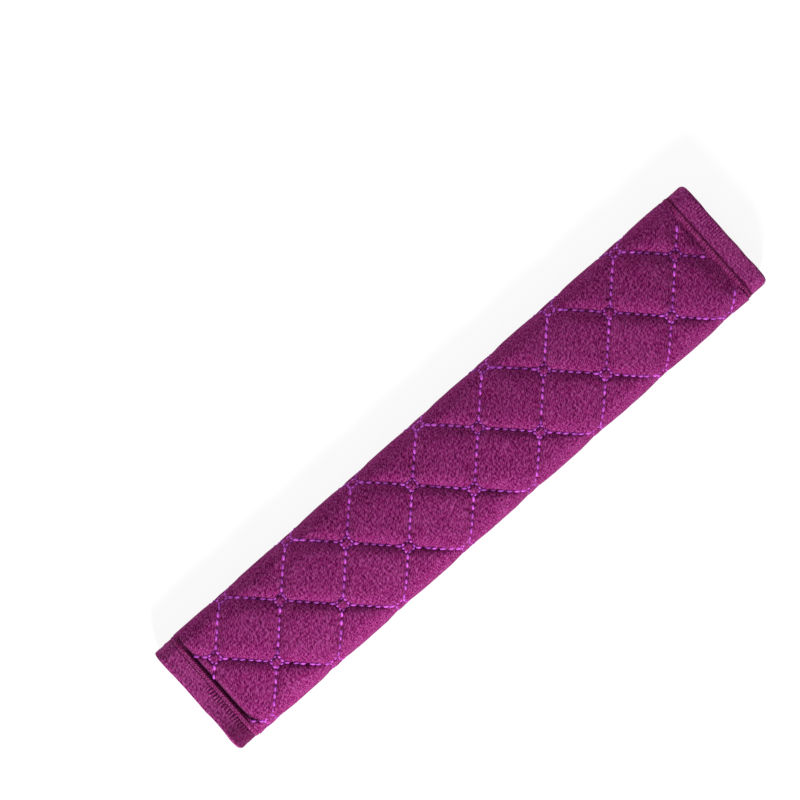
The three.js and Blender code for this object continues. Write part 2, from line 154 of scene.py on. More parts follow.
def section(s):
    """The folded section at arc length s: the belt-side point (y, z) and the outward normal."""
    s = np.asarray(s, float)
    side = np.where(s < 0, -1.0, 1.0)
    run = np.abs(s)
    fold = np.clip((run - SHOULDER) / FOLD_OUTER, 0, np.pi)
    ny, nz = side * np.sin(fold), np.cos(fold)
    y = np.where(run <= SHOULDER, s, side * SHOULDER + FOLD_INNER * ny)
    z = np.where(run <= SHOULDER, FRONT_Z, FOLD_CENTRE_Z + FOLD_INNER * nz)
    under = run > FOLD_END
    y = np.where(under, side * (SHOULDER - (run - FOLD_END)), y)
    z = np.where(under, OUTER_FLAP_Z, z)
    ny, nz = np.where(under, 0.0, ny), np.where(under, -1.0, nz)
    first = (s > BEND_START) & (s <= BEND_MIDDLE)
    second = (s > BEND_MIDDLE) & (s <= BEND_END)
    flat = s > BEND_END
    angle = np.where(first, (s - BEND_START) / BEND_INNER, (BEND_END - s) / BEND_OUTER)
    angle = np.clip(angle, 0, BEND_ANGLE)
    bend = first | second
    ny = np.where(bend, -np.sin(angle), ny)
    nz = np.where(bend, -np.cos(angle), nz)
    y = np.where(first, BEND_START_Y + BEND_INNER * ny, y)
    z = np.where(first, OUTER_FLAP_Z + BEND_INNER * (1 + nz), z)
    y = np.where(second, OVERLAP_HALF - BEND_OUTER * ny, y)
    z = np.where(second, INNER_FLAP_Z - BEND_OUTER * (1 + nz), z)
    y = np.where(flat, OVERLAP_HALF - (s - BEND_END), y)
    z = np.where(flat, INNER_FLAP_Z, z)
    return y, z, ny, nz


def row_to_s(row, x):
    """Rows of the quilting lattice climb slightly along the pad, except near the free edges."""
    fade = np.where(
        row > 0,
        1 - smooth(row, FOLD_END - FOLD_OUTER, FOLD_END),
        smooth(row, OUTER_EDGE, -FOLD_END),
    )
    return row + TILT * x * fade


def place(x, row, height):
    """Points at x, row and height, pressed flat where they would reach below the table."""
    x, row, height = np.broadcast_arrays(*(np.asarray(v, float) for v in (x, row, height)))
    y, z, ny, nz = section(row_to_s(row, x))
    return np.stack([x, y + ny * height, np.maximum(0, z + nz * height)], axis=-1)


def front_share(s):
    return 1 - smooth(np.abs(s), SHOULDER - SHARE_RUN, SHOULDER + SHARE_RUN)


def pressed_share(s):
    return smooth(np.abs(s), FOLD_END - 2 * SHARE_RUN, FOLD_END)


def under_share(s):
    return np.where(s > 0, 0, smooth(-s, FOLD_END - SHARE_RUN / 2, FOLD_END + SHARE_RUN))


def lattice(x, row):
    """Where a point is in the quilting: how far it is from the stitch lines of both ways as a
    share of a cell, its offsets from the nearest crossing in millimetres, and which side of the
    lines that climb less it is on."""
    across, down = (x - CROSSING_X) / CELL, (row - CROSSING_ROW) / CELL
    a, b = across + down, across - down
    near_a, near_b = 2 * np.round(a / 2), 2 * np.round(b / 2)
    off_a, off_b = a - near_a, b - near_b
    dx = (off_a + off_b) / 2 * CELL
    dr = (off_a - off_b) / 2 * CELL
    return np.abs(off_a), np.abs(off_b), dx, dr, np.sign(off_a)


STITCH_COUNT = 6  # on each run from square to square
RUN_LENGTH = (CELL - 2 * SQUARE) * np.sqrt(2)
STITCH_PITCH = RUN_LENGTH / STITCH_COUNT
LADDER_PITCH = 1.45  # of the short stitches along each end's seam
STITCH_SLANT = 0.14  # radians that each stitch lies off its line

# The cloth simulation works on the unfolded face, in units of a centimetre
SIM_STEPS = 16  # steps for each cell
SIM_STEP = CELL / SIM_STEPS
SIM_UNIT = 0.1
SIM_FRAMES = 20
SIM_ORIGIN = np.array([CROSSING_X, CROSSING_ROW])
SIM_SPARE = 16.0  # the simulated cloth runs on past both ends, so that they don't hold it down
SIM_HOLD = 0.9  # how firmly a stitch holds the cloth between its needle holes
SIM_FULL = 0.97  # the share of the cloth that is lower than what counts as full height
SIM_LOW = np.array([-QUILT_X - SIM_SPARE, OUTER_EDGE + EDGE_TURN])
SIM_HIGH = np.array([QUILT_X + SIM_SPARE, FOLD_END + 4.0])
SIM_FIRST = np.ceil((SIM_LOW - SIM_ORIGIN) / SIM_STEP).astype(int)
SIM_LAST = np.floor((SIM_HIGH - SIM_ORIGIN) / SIM_STEP).astype(int)


def sewn_weights(column, line):
    """How firmly each point of the simulated cloth is sewn down, from 0 to 1."""
    a, b = (column + line) / SIM_STEPS, (column - line) / SIM_STEPS
    off_a, off_b = a - 2 * np.round(a / 2), b - 2 * np.round(b / 2)
    reach = np.maximum(np.abs(off_a + off_b), np.abs(off_a - off_b)) / 2 * SIM_STEPS
    square = np.round(SQUARE / SIM_STEP)
    on_run = (np.minimum(np.abs(off_a), np.abs(off_b)) < 1e-6) & (reach > square)
    needle_hole = on_run & (np.round(reach) % 2 == 0)
    weights = np.where(on_run, SIM_HOLD, 0.0)
    weights = np.where(needle_hole | (np.abs(reach - square) < 1e-6), 1.0, weights)
    weights[:, [0, -1]] = 1.0
    weights[[0, -1]] = 1.0
    return weights


def simulate_pillows():
    """Heights of cloth that is sewn down along its stitch lines and pressed up by its wadding."""
    column, line = np.meshgrid(
        np.arange(SIM_FIRST[0], SIM_LAST[0] + 1), np.arange(SIM_FIRST[1], SIM_LAST[1] + 1)
    )
    weights = sewn_weights(column, line)
    lift = np.random.default_rng(5).uniform(0.01, 0.04, column.shape)
    flat = (SIM_ORIGIN + np.stack([column, line], -1) * SIM_STEP) * SIM_UNIT
    points = np.concatenate([flat, np.where(weights > 0, 0, lift)[..., None]], -1)
    quads = cell_corners(np.arange(column.size).reshape(column.shape)).reshape(4, -1).T
    cloth = mesh_object("simulated_cloth", points / METRE, quads)
    sewn = cloth.vertex_groups.new(name="sewn")
    for weight in np.unique(weights[weights > 0]):
        sewn.add(np.flatnonzero(weights.ravel() == weight).tolist(), float(weight), "REPLACE")
    modifier = cloth.modifiers.new("cloth", "CLOTH")
    settings = modifier.settings
    settings.quality = 4
    settings.mass = 0.3
    settings.tension_stiffness = settings.compression_stiffness = 15
    settings.shear_stiffness = 5
    settings.bending_stiffness = 0.25
    settings.air_damping = 2
    settings.use_pressure = True
    settings.uniform_pressure_force = 3
    settings.shrink_min = -0.04
    settings.vertex_group_mass = "sewn"
    settings.pin_stiffness = 5
    settings.effector_weights.gravity = 0
    modifier.collision_settings.use_collision = False
    modifier.point_cache.frame_start, modifier.point_cache.frame_end = 1, SIM_FRAMES
    for number in range(1, SIM_FRAMES + 1):
        bpy.context.scene.frame_set(number)
    settled = cloth.evaluated_get(bpy.context.evaluated_depsgraph_get()).to_mesh()
    co = np.empty(column.size * 3)
    settled.vertices.foreach_get("co", co)
    bpy.data.objects.remove(cloth)
    bpy.context.scene.frame_set(1)
    height = np.maximum(0, co.reshape(*column.shape, 3)[..., 2])
    return height / np.quantile(height, SIM_FULL)


def sample_pillows(x, row):
    """Simulated heights between the simulation's points, on a smooth curve through them."""
    place_x = (np.asarray(x) - CROSSING_X) / SIM_STEP
    place_row = (np.asarray(row) - CROSSING_ROW) / SIM_STEP
    base_x, base_row = np.floor(place_x), np.floor(place_row)

    def shares(t):
        """Weights of the four nearest points on a Catmull-Rom curve."""
        return (
            (-(t**3) + 2 * t**2 - t) / 2,
            (3 * t**3 - 5 * t**2 + 2) / 2,
            (-3 * t**3 + 4 * t**2 + t) / 2,
            (t**3 - t**2) / 2,
        )

    total = 0.0
    for k, share_x in enumerate(shares(place_x - base_x)):
        column = np.clip(base_x + k - 1 - SIM_FIRST[0], 0, SIM_HEIGHTS.shape[1] - 1).astype(int)
        for m, share_row in enumerate(shares(place_row - base_row)):
            line = np.clip(base_row + m - 1 - SIM_FIRST[1], 0, SIM_HEIGHTS.shape[0] - 1).astype(int)
            total = total + share_x * share_row * SIM_HEIGHTS[line, column]
    return total


def quilting(x, row):
    """Fullness of the pillows from 0 to 1, and distance to the nearest stitch in millimetres."""
    to_a, to_b, dx, dr, _ = lattice(x, row)
    reach = np.maximum(np.abs(dx), np.abs(dr)) - SQUARE
    to_square = np.abs(reach)
    to_line = np.minimum(to_a, to_b) * CELL / np.sqrt(2)
    distance = np.where(reach > 0, np.minimum(to_line, to_square), to_square)
    if SIM_HEIGHTS is None:
        raised = np.sin(np.pi / 2 * to_a) * np.sin(np.pi / 2 * to_b) * smooth(reach, -0.3, 3.0)
    else:
        raised = sample_pillows(x, row)
    return 1 - (1 - np.clip(raised, 0, 1)) ** FIRMNESS, distance


FIRMNESS = 2.15  # how soon a pillow reaches its full height beside a stitch line
FULLER = 1.22  # the front's pillows stand this much higher than the frame's
FULL_FOLD = 0.35  # the fold of the outer flap stands this much prouder than the other one
UNEVEN = 0.09  # the share by which a pillow is fuller or flatter than the others
CROWN = 2.6  # the front bulges this much more in the middle of its width
CROWN_REACH = 28.0
CROWN_END = QUILT_X - 32.0, QUILT_X + 2.0  # x over which the bulge runs out
STEEP = 0.7  # the power that gives a rising surface its full shoulder

# Pairs of values for the left and the right end: how far in from the seam the pillows start,
# over which run they rise, and to which power
RISE_INSET = 1.6, 0.4
RISE_RUN = 2.4, 10.0
RISE_POWER = STEEP, 0.9
RISE_FRONT = 19.0, 27.0  # s over which the front's rise passes into the folds' own
RISE_FOLD_RUN = 0.5

# Small folds of the cloth beside its stitches
PUCKER_HEIGHT = 0.08
PUCKER_REACH = 1.4
WRINKLE_HEIGHT = 0.10
WRINKLE_SIZE = 2.6
STITCH_GROOVE_DEPTH = 0.30
STITCH_GROOVE_REACH = 0.7
THINNEST = 0.15

GROOVE_PATH = np.array(  # the deep crease beside the left seam, from its upper to its lower end
    [(-147.9, 28.5), (-148.0, -13.0), (-147.7, -19.3), (-146.4, -24.2), (-144.1, -27.8)]
)
GROOVE_HALF = 0.84
GROOVE_DEPTH = 0.8
SEAM_WALL = 0.05  # the run over which the plush drops to its hem at each end's seam


def groove_share(x, row):
    """How deep in the left seam's crease a point is, from 0 to 1, and how far along the crease."""
    x, row = np.broadcast_arrays(np.asarray(x, float), np.asarray(row, float))
    nearest = np.full(x.shape, 99.0)
    along = np.zeros(x.shape)
    walked = 0.0
    for start, end in zip(GROOVE_PATH[:-1], GROOVE_PATH[1:]):
        step = end - start
        length = np.hypot(*step)
        share = np.clip(((x - start[0]) * step[0] + (row - start[1]) * step[1]) / length**2, 0, 1)
        away = np.hypot(x - start[0] - share * step[0], row - start[1] - share * step[1])
        along = np.where(away < nearest, walked + share * length, along)
        nearest = np.minimum(nearest, away)
        walked += length
    return bell(nearest, GROOVE_HALF) * band(along, -1.0, 3.0, walked - 3.5, walked + 0.8), along


def end_rise(x, s):
    """Pillows rise steeply beside the left seam's crease and gently beside the right seam, but
    round the folds they stay as full as the seam."""
    left = x < 0
    front = 1 - smooth(np.abs(s), *RISE_FRONT)
    run = np.where(left, *RISE_RUN) * front + RISE_FOLD_RUN
    foot = RIDGE_X - np.where(left, RISE_INSET[0] * front, RISE_INSET[1])
    climb = np.sin(np.pi / 2 * np.clip((foot - np.abs(x)) / run, 0, 1))
    at_fold = (1 - front) * (np.abs(x) < RIDGE_X + SEAM_WALL / 2)
    return np.maximum(climb ** np.where(left, *RISE_POWER), at_fold)


def plush_height(x, row):
    """Height of the plush's outer surface, with its pillows, puckers and stitch grooves."""
    x, row = np.broadcast_arrays(np.asarray(x, float), np.asarray(row, float))
    s = row_to_s(row, x)
    front, under = front_share(s), under_share(s)
    fold = 1 - front - pressed_share(s)
    quilted = np.clip(front + fold + under, 0, 1)
    fullness, distance = quilting(x, row)
    edge = np.clip((row - OUTER_EDGE - EDGE_TURN) / SHARE_RUN, 0, 1)
    rise = end_rise(x, s) * np.sin(np.pi / 2 * edge) ** STEEP
    loft = FULLER * FRONT_LOFT * front + FOLD_LOFT * fold + UNDER_LOFT * under
    uneven = 1 + UNEVEN * soft_noise(x, row, 17, 3)
    crown = CROWN * np.clip(1 - (s / CROWN_REACH) ** 2, 0, 1) ** 2
    crown = crown * (1 - smooth(np.abs(x), *CROWN_END))
    puff = FOLD_PUFF * fold + FULL_FOLD * fold * (s < 0)
    height = STITCH_WALL + (puff + crown + loft * fullness * uneven) * rise

    # Cloth drawn in between the needle holes, and longer wrinkles that run off the stitches. Each
    # run of stitches has wrinkles of its own, from another part of the noise.
    to_a, to_b, dx, dr, _ = lattice(x, row)
    on_a = to_a < to_b
    along = np.where(on_a, dx - dr, dx + dr) / np.sqrt(2)
    start = SQUARE * np.sqrt(2)
    drawn = -ripple(np.abs(along) - start, STITCH_PITCH) * bell(distance, PUCKER_REACH)
    noise_x, noise_y = along + np.where(on_a, 37, 91), np.sign(dx + dr) * 40 + distance / 4
    wrinkles = soft_noise(noise_x, noise_y, WRINKLE_SIZE, 5) * band(distance, 0.2, 1.6, 3.0, 8.5)
    folds = PUCKER_HEIGHT * drawn * (distance > 0.3) + WRINKLE_HEIGHT * wrinkles
    folds = folds - STITCH_GROOVE_DEPTH * bell(distance, STITCH_GROOVE_REACH)
    bumps = 0.04 * soft_noise(x, row, 3.1, 11) + 0.03 * soft_noise(x, row, 1.5, 12)
    inside = smooth(RIDGE_X - np.abs(x), 0, 2.0)
    crease_share, _ = groove_share(x, row)
    height = height + (folds * quilted + bumps) * rise * inside - GROOVE_DEPTH * crease_share
    return np.maximum(height, FACE_INNER + THINNEST)


def add_object(name, data):
    made = bpy.data.objects.new(name, data)
    bpy.context.scene.collection.objects.link(made)
    return made


def mesh_object(name, points, faces, smooth_faces=True):
    """A mesh object from points in millimetres and faces that all have the same corner count."""
    points = np.asarray(points, float).reshape(-1, 3) * METRE
    faces = np.asarray(faces, np.int32)
    corners = faces.shape[1]
    mesh = bpy.data.meshes.new(name)
    mesh.vertices.add(len(points))
    mesh.vertices.foreach_set("co", points.ravel())
    mesh.loops.add(faces.size)
    mesh.loops.foreach_set("vertex_index", faces.ravel())
    mesh.polygons.add(len(faces))
    mesh.polygons.foreach_set("loop_start", np.arange(0, faces.size, corners, dtype=np.int32))
    mesh.polygons.foreach_set("loop_total", np.full(len(faces), corners, np.int32))
    mesh.polygons.foreach_set("use_smooth", np.full(len(faces), smooth_faces))
    mesh.update(calc_edges=True)
    mesh.validate()
    return add_object(name, mesh)


def colour_points(piece, name, values):
    """Stores a number for each point, which the piece's material reads."""
    attribute = piece.data.attributes.new(name, "FLOAT", "POINT")
    attribute.data.foreach_set("value", np.asarray(values, np.float32).ravel())


def dress(piece, material, slot, *nodes):
    """Gives a piece its material, hangs it from the root and hides the frame nodes that it stands
    for.
    """
    piece.data.materials.append(material)
    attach(piece, "root")
    if nodes:
        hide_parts(*nodes)
    return piece


def outward(points, faces):
    """Faces turned so that a closed surface faces out."""
    corners = [points[faces[:, k]] for k in range(3)]
    volume = np.einsum("ij,ij->", corners[0], np.cross(corners[1], corners[2]))
    return faces if volume > 0 else faces[:, ::-1]


def cell_corners(index):
    """The four corners of each cell in a grid of point numbers."""
    return np.stack([index[:-1, :-1], index[:-1, 1:], index[1:, 1:], index[1:, :-1]])


def grid_triangles(index, splits_down):
    """Triangles of a grid of point numbers, whose cells are split one way or the other."""
    a, b, c, d = cell_corners(index)
    one = np.where(splits_down, [a, b, c], [a, b, d])
    two = np.where(splits_down, [a, c, d], [b, c, d])
    return np.concatenate([one.reshape(3, -1).T, two.reshape(3, -1).T])


def zip_lines(high, high_at, low, low_at):
    """Triangles between two lines of points with different stations."""
    i = k = 0
    found = []
    while i < len(high) - 1 or k < len(low) - 1:
        next_high = high_at[i + 1] if i < len(high) - 1 else np.inf
        next_low = low_at[k + 1] if k < len(low) - 1 else np.inf
        if next_high <= next_low:
            found.append((high[i], low[k], high[i + 1]))
            i += 1
        else:
            found.append((high[i], low[k], low[k + 1]))
            k += 1
    return np.array(found)


def sheet_mesh(name, rows, outer_xs, inner_xs, outer, inner):
    """A closed sheet round the section. outer(x, row) and inner(x, row) are its heights."""
    grid_x, grid_row = np.meshgrid(outer_xs, rows)
    back_x, back_row = np.meshgrid(inner_xs, rows)
    front = place(grid_x, grid_row, outer(grid_x, grid_row)).reshape(-1, 3)
    back = place(back_x, back_row, inner(back_x, back_row)).reshape(-1, 3)
    points = np.concatenate([front, back])

    def splits(xs):
        middle_x, middle_row = np.meshgrid((xs[1:] + xs[:-1]) / 2, (rows[1:] + rows[:-1]) / 2)
        across = np.floor((middle_x - CROSSING_X) / CELL)
        down = np.floor((middle_row - CROSSING_ROW) / CELL)
        return (across + down) % 2 == 0

    high = np.arange(grid_x.size).reshape(grid_x.shape)
    low = np.arange(back_x.size).reshape(back_x.shape) + grid_x.size
    faces = [
        grid_triangles(high, splits(outer_xs)),
        grid_triangles(low, splits(inner_xs))[:, ::-1],
        zip_lines(high[0], outer_xs, low[0], inner_xs),
        zip_lines(high[-1], outer_xs, low[-1], inner_xs)[:, ::-1],
    ]
    for column, turn in ((0, 1), (-1, -1)):
        a, b = high[:-1, column], high[1:, column]
        d, c = low[:-1, column], low[1:, column]
        wall = np.concatenate([np.stack([a, b, c], 1), np.stack([a, c, d], 1)])
        faces.append(wall[:, ::turn])
    faces = outward(points, np.concatenate(faces))
    return mesh_object(name, points, faces), grid_x, grid_row


SWEEP_STEP = 0.2
SWEEP_ROWS = np.linspace(OUTER_EDGE, INNER_EDGE, int((INNER_EDGE - OUTER_EDGE) / SWEEP_STEP))


def swept_mesh(name, profile):
    """A profile swept round the section. profile(rows) gives arrays x, height and shade, each
    with a line of profile points for each row."""
    rows = SWEEP_ROWS[:, None]
    x, height, shade = profile(rows)
    count = x.shape[1]
    points = place(x, rows, height).reshape(-1, 3)
    index = np.arange(x.size).reshape(x.shape)
    a, b, c, d = cell_corners(np.hstack([index, index[:, :1]]))
    faces = [np.stack([a, b, c], -1).reshape(-1, 3), np.stack([a, c, d], -1).reshape(-1, 3)]
    hub = len(points)
    for line, flip in ((index[0], True), (index[-1], False)):
        fan = np.stack([np.full(count, hub), line, np.roll(line, -1)], 1)
        faces.append(fan[:, ::-1] if flip else fan)
        points = np.vstack([points, points[line].mean(0)])
        hub += 1
    faces = outward(points, np.concatenate(faces))
    made = mesh_object(name, points, faces)
    colour_points(made, "shade", np.append(shade.ravel(), (0, 0)))
    return made


# Stations and rows of the pieces


def lattice_points(start, end, origin, step):
    first, last = np.ceil((start - origin) / step), np.floor((end - origin) / step)
    found = origin + np.arange(first, last + 1) * step
    return found[(found - start > step / 4) & (end - found > step / 4)]


def plush_rows():
    edge = EDGE_TURN * (1 - np.cos(np.linspace(0, np.pi / 2, 6)))
    first, last = OUTER_EDGE + EDGE_TURN, INNER_EDGE - EDGE_TURN
    beside_edge = np.arange(1, 4) * 0.12
    clear = 0.5
    rows = [
        OUTER_EDGE + edge,
        first + beside_edge,
        lattice_points(first + clear, -FOLD_END, CROSSING_ROW, 2 * FINE),
        lattice_points(-FOLD_END, FOLD_END, CROSSING_ROW, FINE),
        lattice_points(FOLD_END, last - clear, CROSSING_ROW, 3 * FINE),
        last - beside_edge,
        INNER_EDGE - edge,
    ]
    return np.unique(np.round(np.concatenate(rows), 5))


def edge_distance(row):
    return np.minimum(row - OUTER_EDGE, INNER_EDGE - row)


# Materials


def new_material(name, roughness, specular):
    material = bpy.data.materials.new(name)
    material.use_nodes = True
    tree = material.node_tree
    shader = tree.nodes["Principled BSDF"]
    shader.inputs["Roughness"].default_value = roughness
    shader.inputs["Specular IOR Level"].default_value = specular
    return material, tree, shader


def linear(colour):
    """A colour written as 0 to 255 on screen, as the linear values that nodes hold."""
    c = np.array(colour) / 255
    values = np.where(c <= 0.04045, c / 12.92, ((c + 0.055) / 1.055) ** 2.4)
    return (*values, 1.0)


def node(tree, kind, **values):
    made = tree.nodes.new(kind)
    for key, value in values.items():
        if key.startswith("in_"):
            made.inputs[key[3:].replace("_", " ")].default_value = value
        else:
            setattr(made, key, value)
    return made


def feed(tree, value, socket):
    """Links a node's output to a socket, or sets the socket to a plain value."""
    if isinstance(value, bpy.types.NodeSocket):
        tree.links.new(value, socket)
    else:
        socket.default_value = value


def math_node(tree, operation, *values):
    made = node(tree, "ShaderNodeMath", operation=operation)
    for value, socket in zip(values, made.inputs):
        feed(tree, value, socket)
    return made.outputs[0]


def object_place(tree):
    return node(tree, "ShaderNodeTexCoord").outputs["Object"]


PILE_ANGLE = np.arctan2(UP_X, UP_Y)  # the pile is brushed this far round from across the pad
TUFT_SPACING = 0.00118  # metres from a tuft to its shadow
TUFT_SHADOW = 0.4  # how dark the shadow is beside its tuft


def pile_coordinates(tree, along, across, aside=0.0):
    """Object coordinates counted in tufts, which are `along` metres long the way that the pile is
    brushed and `across` metres wide, and moved `aside` metres across it."""
    scale = 1 / across, 1 / along, 1 / across
    turned = node(tree, "ShaderNodeMapping", in_Rotation=(0, 0, PILE_ANGLE))
    scaled = node(tree, "ShaderNodeMapping", in_Scale=scale, in_Location=(aside / across, 0, 0))
    tree.links.new(object_place(tree), turned.inputs["Vector"])
    tree.links.new(turned.outputs["Vector"], scaled.inputs["Vector"])
    return scaled.outputs["Vector"]


def noise_node(tree, vector, scale=1.0, detail=3.0):
    made = node(tree, "ShaderNodeTexNoise", in_Scale=scale, in_Detail=detail, in_Roughness=0.55)
    tree.links.new(vector, made.inputs["Vector"])
    return made.outputs["Fac"]


def ramp_node(tree, value, stops):
    made = node(tree, "ShaderNodeValToRGB")
    ramp = made.color_ramp
    while len(ramp.elements) < len(stops):
        ramp.elements.new(0.5)
    for element, (at, colour) in zip(ramp.elements, stops):
        element.position = at
        element.color = linear(colour)
    tree.links.new(value, made.inputs["Fac"])
    return made.outputs["Color"]


def mix_colour(tree, share, one, two):
    made = node(tree, "ShaderNodeMix", data_type="RGBA")
    for value, socket in ((share, made.inputs[0]), (one, made.inputs[6]), (two, made.inputs[7])):
        feed(tree, value, socket)
    return made.outputs[2]


def add_bump(tree, shader, height, strength, distance):
    made = node(tree, "ShaderNodeBump", in_Strength=strength, in_Distance=distance)
    tree.links.new(height, made.inputs["Height"])
    tree.links.new(made.outputs["Normal"], shader.inputs["Normal"])


def attribute_value(tree, name):
    return node(tree, "ShaderNodeAttribute", attribute_name=name).outputs["Fac"]


def set_sheen(shader, weight, roughness, colour):
    shader.inputs["Sheen Weight"].default_value = weight
    shader.inputs["Sheen Roughness"].default_value = roughness
    shader.inputs["Sheen Tint"].default_value = linear(colour)


def pile_material(name, tones, along, across, deep, sheen, spread):
    """Short velvety pile in brushed tufts, each with a shadow beside it, and a sheen. The piece's
    `shade` attribute darkens it where light doesn't reach."""
    material, tree, shader = new_material(name, 0.92, 0.05)
    dark, mid, light = tones
    tufts = noise_node(tree, pile_coordinates(tree, along, across), detail=0.0)
    # A painted shadow beside each tuft, in the colour as well as the bump.
    shadows = noise_node(tree, pile_coordinates(tree, along, across, TUFT_SPACING), detail=0.0)
    tufts = math_node(tree, "MULTIPLY_ADD", shadows, -TUFT_SHADOW, tufts)
    middle = 0.5 * (1 - TUFT_SHADOW)
    patches = noise_node(tree, pile_coordinates(tree, 0.014, 0.011), detail=1.0)
    stops = ((middle - spread, dark), (middle - 0.02, mid), (middle + spread, light))
    fine = ramp_node(tree, tufts, stops)
    broad = ramp_node(tree, patches, ((0.35, dark), (0.5, mid), (0.65, light)))
    colour = mix_colour(tree, 0.07, fine, broad)
    # Painted shade: the colour is mixed towards the given dark colour by the piece's shade attribute.
    colour = mix_colour(tree, attribute_value(tree, "shade"), colour, linear(deep))
    tree.links.new(colour, shader.inputs["Base Color"])
    set_sheen(shader, *sheen)
    add_bump(tree, shader, tufts, 0.9, 0.0005)
    return material


def wave_node(tree, direction, **values):
    made = node(tree, "ShaderNodeTexWave", bands_direction=direction, **values)
    tree.links.new(object_place(tree), made.inputs["Vector"])
    return made.outputs["Fac"]


def thread_material(name, dark, light, roughness=0.48):
    """Twisted thread, with a painted highlight on the raised middle of each stitch and painted shade
    towards its underside and ends.
    """
    material, tree, shader = new_material(name, roughness, 0.18)
    colour = mix_colour(tree, attribute_value(tree, "highlight_and_tone"), linear(dark), linear(light))
    tree.links.new(colour, shader.inputs["Base Color"])
    set_sheen(shader, 0.1, 0.3, (255, 190, 255))
    twist = wave_node(tree, "DIAGONAL", in_Scale=900.0, in_Distortion=1.5)
    add_bump(tree, shader, twist, 0.35, 0.0002)
    return material


def weave_material(name, dark, light, size, roughness=0.85):
    """A flat woven or knitted cloth, with rows of small loops."""
    material, tree, shader = new_material(name, roughness, 0.3)
    values = {"in_Scale": 0.16 / size, "in_Distortion": 0.6, "in_Detail_Scale": 2.0}
    loops = math_node(tree, "MULTIPLY", *(wave_node(tree, way, **values) for way in "XY"))
    fibre = noise_node(tree, object_place(tree), scale=1 / size)
    colour = mix_colour(tree, loops, linear(dark), linear(light))
    colour = mix_colour(tree, fibre, colour, linear(dark))
    tree.links.new(colour, shader.inputs["Base Color"])
    set_sheen(shader, 0.2, 0.4, (240, 190, 225))
    add_bump(tree, shader, loops, 0.6, size / 3)
    return material


# The plush face


def plush_shade(x, row):
    """How little light reaches the plush, from 0 to 1: in the crease beside the left seam, at the
    foot of each pillow and beside the right seam."""
    crease, along = groove_share(x, row)
    least = 0.6 + 0.35 * smooth(along, 9.0, 17.0)
    beads = 0.5 + 0.5 * ripple(along, STITCH_PITCH / 2)
    in_crease = 0.97 * crease * (least + (1 - least) * beads)

    _, distance = quilting(x, row)
    s = row_to_s(row, x)
    quilted = np.clip(1 - pressed_share(s) + under_share(s), 0, 1) * smooth(QUILT_X - np.abs(x), 0, 1)
    to_a, to_b, dx, dr, above = lattice(x, row)
    lit = (to_a < to_b) & (above > 0)
    at_square = np.maximum(np.abs(dx), np.abs(dr)) < SQUARE + 0.8
    darkness = np.where(at_square, 0.1, np.where(lit, 0.04, 0.14))
    at_foot = darkness * bell(distance, 0.55) * quilted

    darkness = (0.12 + 0.43 * smooth(row, -12.0, 6.0)) * (0.6 + 0.4 * ripple(row, LADDER_PITCH))
    beside_seam = darkness * bell(x - RIDGE_X + 1.7, 0.6)
    return np.maximum.reduce([in_crease, at_foot, beside_seam])


def plush_face():
    finer = 5.0  # the left end's stations are closer together over this length
    xs = [
        [-LAMINATE_X, -SEAM_X, -RIDGE_X - SEAM_WALL],
        np.arange(-RIDGE_X, -QUILT_X - 0.2, 0.3),
        [-QUILT_X],
        lattice_points(-QUILT_X, finer - QUILT_X, CROSSING_X, FINE / 2),
        lattice_points(finer - QUILT_X, QUILT_X, CROSSING_X, FINE),
        [QUILT_X],
        QUILT_X + np.arange(1, 6) * GROOVE_WIDTH / 5,
        [RIDGE_X + SEAM_WALL, SEAM_X, LAMINATE_X],
    ]
    xs = np.concatenate(xs)
    turn_end = SEAM_X - 2 * LAYER_GAP
    inner_xs = np.array([-LAMINATE_X, -SEAM_X, -turn_end, 0, turn_end, SEAM_X, LAMINATE_X])
    half = STITCH_WALL / 2

    def nose(row):
        """How far the rounded free edge is open at a row, from 0 to 1."""
        run = np.clip(edge_distance(row) / EDGE_TURN, 0, 1)
        return np.sqrt(np.clip(1 - (1 - run) ** 2, 0, 1))

    def outer(x, row):
        rounded = half + (plush_height(x, row) - half) * nose(row)
        return np.where(np.abs(x) >= SEAM_X, np.maximum(rounded, FACE_INNER + 0.3), rounded)

    def inner(x, row):
        turned = half - half * nose(row)
        back = np.where(edge_distance(row) <= EDGE_TURN + 0.2, turned, FACE_INNER)
        return np.where(np.abs(x) <= turn_end + 1e-6, back, FACE_INNER)

    rows = plush_rows()
    made, x, row = sheet_mesh("plush_face_quilted", rows, xs, inner_xs, outer, inner)
    inner_shade = np.zeros(len(rows) * len(inner_xs))
    colour_points(made, "shade", np.append(plush_shade(x, row).ravel(), inner_shade))
    return made


# Layers that the plush covers


def layer_rows():
    """Rows about a millimetre apart, kept clear of the plush that is turned in at both edges."""
    clear = EDGE_TURN + 2 * LAYER_GAP
    first, last = OUTER_EDGE + clear, INNER_EDGE - clear
    return np.linspace(first, last, int(last - first))


def level(height):
    """A surface that lies at one height everywhere."""
    return lambda x, row: np.full(np.shape(x), height)


def wadding_layer():
    xs = np.linspace(-QUILT_X, QUILT_X, 60)
    outer, inner = level(WADDING_INNER + WADDING), level(WADDING_INNER)
    return sheet_mesh("wadding_layer", layer_rows(), xs, xs, outer, inner)[0]


def lining_width():
    """The width that the lining is cut to: its way round the section, laid flat."""
    steps = np.diff(place(0, layer_rows(), LINING / 2), axis=0)
    return np.linalg.norm(steps, axis=1).sum()


